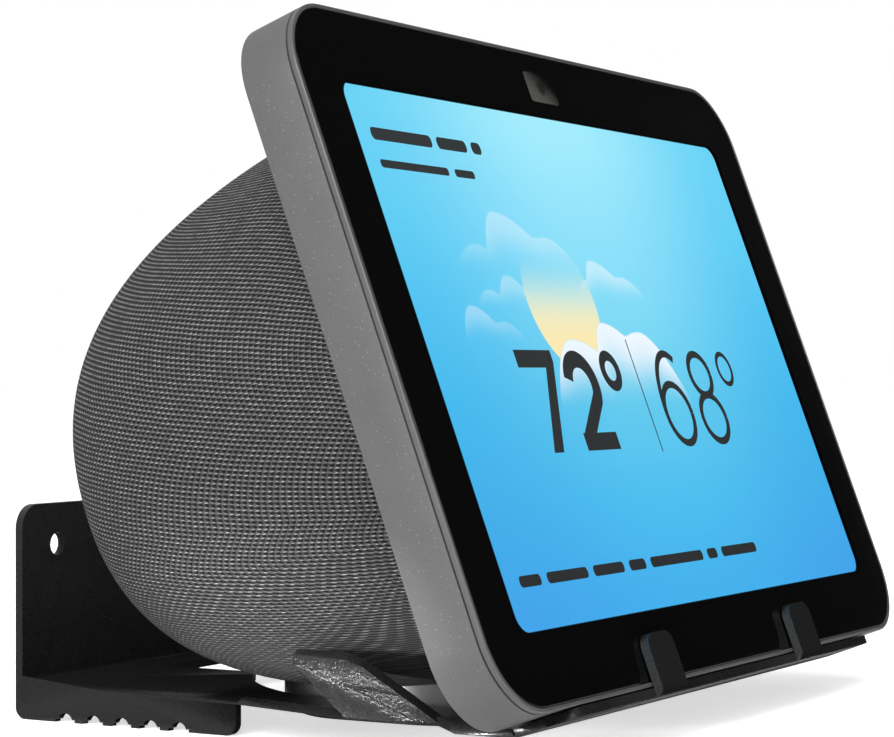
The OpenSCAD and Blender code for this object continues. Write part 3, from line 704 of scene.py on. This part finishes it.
def place_ink(work, shift=(0, 0)):
    """Move flat drawing, in millimetres from the picture's centre, onto the screen plane."""
    bmesh.ops.translate(work, verts=work.verts[:], vec=(shift[0], shift[1] - 0.5, INK_LEVEL))
    bmesh.ops.scale(work, verts=work.verts[:], vec=(MM, MM, MM))
    bmesh.ops.transform(work, verts=work.verts[:], matrix=screen_plane)


def arc(middle, across, up, start, end):
    """Points on part of an ellipse, between two angles in degrees."""
    turns = np.linspace(radians(start), radians(end), 25)
    return [(middle[0] + across * cos(turn), middle[1] + up * sin(turn)) for turn in turns]


def stroke(points, width):
    """A pen stroke: a tube along a path, made a mesh and pressed flat."""
    curve = bpy.data.curves.new("stroke", "CURVE")
    curve.dimensions = "3D"
    curve.bevel_depth = width / 2
    curve.bevel_resolution = 3
    spline = curve.splines.new("POLY")
    spline.points.add(len(points) - 1)
    for knot, (u, v) in zip(spline.points, points):
        knot.co = (u, v, 0, 1)
    drawn = bpy.data.objects.new("stroke", curve)
    scene.collection.objects.link(drawn)
    mesh = bpy.data.meshes.new_from_object(drawn.evaluated_get(bpy.context.evaluated_depsgraph_get()))
    bpy.data.objects.remove(drawn)
    work = bmesh.new()
    work.from_mesh(mesh)
    bmesh.ops.scale(work, verts=work.verts[:], vec=(1, 1, 0.01 / width))
    place_ink(work)
    return work


def slab(corners):
    """A flat figure with straight sides, from its corners."""
    work = bmesh.new()
    work.faces.new([work.verts.new((u, v, 0)) for u, v in corners])
    place_ink(work)
    return work


def ring(middle, outer, inner):
    """A degree sign: two circles bridged into a flat ring."""
    work = bmesh.new()
    rims = [bmesh.ops.create_circle(work, segments=48, radius=radius)["verts"] for radius in (outer, inner)]
    edges = list({edge for rim in rims for vert in rim for edge in vert.link_edges})
    bmesh.ops.bridge_loops(work, edges=edges)
    place_ink(work, middle)
    return work


def bar(left, right, low, high):
    """A rounded bar for a word that isn't spelled out."""
    work = bmesh.new()
    bmesh.ops.create_grid(work, x_segments=1, y_segments=1, size=0.5)
    bmesh.ops.scale(work, verts=work.verts[:], vec=(right - left, high - low, 1))
    bmesh.ops.bevel(
        work,
        geom=work.verts[:],
        offset=(high - low) * 0.42,
        offset_type="OFFSET",
        segments=6,
        profile=0.5,
        affect="VERTICES",
        clamp_overlap=True,
        material=-1,
    )
    place_ink(work, ((left + right) / 2, (low + high) / 2))
    return work


# %% Figures and bars on the picture
HEADING = ((-79.5, -56.5), (-54.5, -42.5), (-40.5, -36.5))
PLACE_LINE = ((-79.5, -53.5), (-51, -43))
BOTTOM_LINE = ((-79, -70.5), (-68, -51), (-48.5, -35), (-32.5, -25), (-22.5, 3), (5.5, 10.5), (13, 31.5))
BOLD, THIN = 3.7, 1.7
SEVEN = (
    (-51.6, 0.9), (-51.6, -2.8), (-40.0, -2.8), (-48.3, -20.4),
    (-44.2, -20.4), (-36.0, -1.6), (-36.0, 0.9),
)
ink_work = [
    slab(SEVEN),
    stroke(arc((-26.2, -6.5), 5.6, 5.55, 168, -32) + [(-31.6, -18.2)], BOLD),
    stroke([(-33.4, -18.55), (-18.5, -18.55)], BOLD),
    stroke(arc((15.7, -13.3), 6.5, 6.7, 0, 360), THIN),
    stroke(arc((17.6, -12.5), 8.4, 12.9, 62, 182), THIN),
    stroke(arc((33.5, -4.4), 5.3, 4.8, 0, 360), THIN),
    stroke(arc((33.5, -14.6), 6.2, 5.4, 0, 360), THIN),
    ring((-11.25, -3.5), 4.5, 2.2),
    ring((48.1, -3.1), 4.2, 3.0),
    bar(0.68, 1.12, -21.6, 3.6),
]
ink_work += [bar(left, right, 42.8, 45.4) for left, right in HEADING]
ink_work += [bar(left, right, 37.1, 38.8) for left, right in PLACE_LINE]
ink_work += [bar(left, right, -45.5, -43.3) for left, right in BOTTOM_LINE]
ink = bmesh.new()
for work in ink_work:
    mesh = bpy.data.meshes.new("ink part")
    work.to_mesh(mesh)
    work.free()
    ink.from_mesh(mesh)
    bpy.data.meshes.remove(mesh)
bmesh.ops.recalc_face_normals(ink, faces=ink.faces[:])
turned = [face for face in ink.faces if face.normal.dot(out_of_glass) < 0]
bmesh.ops.reverse_faces(ink, faces=turned)
mesh = bpy.data.meshes.new("screen_figures")
ink.to_mesh(mesh)
ink.free()
mesh.materials.append(finishes["ink"])
figures = bpy.data.objects.new("screen_figures", mesh)
scene.collection.objects.link(figures)
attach(figures, "display")
print("figures:", len(ink_work), "faces:", len(mesh.polygons))

# %% [markdown]
# A product picture is lit by large soft lamps in a pale room, and something dark is set where
# the glass would mirror the room, so that the screen stays black. Here the room is the world: pale
# all round, with one soft dark patch low on the right. The camera itself sees plain white behind,
# and the floor glows a little for it, so that floor and room meet without a line. One narrow spot
# from behind picks out the bracket's left ear.

# %% World, floor and lamps
world = bpy.data.worlds.new("studio")
scene.world = world
world.use_nodes = True
room = Signal(world.node_tree)
sight = room.node("TexCoord", output=0)
dark_side = Vector((0.872, -0.368, 0.322)).normalized()
facing = room.node("VectorMath", {0: sight, 1: dark_side}, output=1, operation="DOT_PRODUCT")
patch = facing.step(cos(radians(62)), cos(radians(30)))
tone = patch.pick(grey(0.5), grey(0.012))
seen = room.node("LightPath", output=0)
background = world.node_tree.nodes["Background"]
fill_socket(world.node_tree, background.inputs["Color"], seen.pick(tone, grey(1.0)))

floor_work = bmesh.new()
bmesh.ops.create_circle(floor_work, cap_ends=True, segments=96, radius=9)
bmesh.ops.translate(floor_work, verts=floor_work.verts[:], vec=(0, 0, cad_low.z - 0.05 * MM))
floor_mesh = bpy.data.meshes.new("floor")
floor_work.to_mesh(floor_mesh)
floor_work.free()
floor = bpy.data.objects.new("floor", floor_mesh)
scene.collection.objects.link(floor)
floor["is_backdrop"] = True
pale = Paint("pale_floor", Roughness=0.9, Specular_IOR_Level=0.1, Emission_Color=grey(1.0))
pale.feed({"Base Color": pale.noise(900).pick(grey(0.9), grey(0.93))})
pale.feed({"Emission Strength": pale.start.node("LightPath", output=0) * 0.66})
floor_mesh.materials.append(pale.material)


def hang(lamp, at, aim):
    """Put a lamp in its place and turn it to another."""
    holder = bpy.data.objects.new(lamp.name, lamp)
    scene.collection.objects.link(holder)
    holder.location = at
    holder.rotation_euler = (Vector(aim) - Vector(at)).to_track_quat("-Z", "Y").to_euler()


def soft_lamp(name, at, power, size):
    """A square softbox of that size, in metres, turned to the display."""
    lamp = bpy.data.lights.new(name, "AREA")
    lamp.energy = power
    lamp.size = size
    hang(lamp, at, (0, -0.08, 0.04))


spot = bpy.data.lights.new("low spot", "SPOT")
spot.energy = 75
spot.spot_size = radians(4.4)
spot.spot_blend = 0.6
spot.shadow_soft_size = 0.03
LEFT_EAR = (-0.08, -0.094, -0.024)
hang(spot, (-0.45, 0.16, 0.0), LEFT_EAR)
soft_lamp("key softbox", (-1.2, -0.35, 0.7), 24, 0.9)
soft_lamp("top softbox", (0.0, -0.3, 1.6), 12, 1.4)
print("stage is set")

# %% [markdown]
# How far the finished model grows past the imported one on each side is printed, in millimetres.
# The finished model may not grow past the imported one by more than about three per cent of a side,
# or ten millimetres where fabric stands proud.

# %% Compare the sizes and finish
low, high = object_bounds()
grown = (cad_low - low, high - cad_high)
print("grown by", [[round(x / MM, 2) for x in side] for side in grown], "mm")
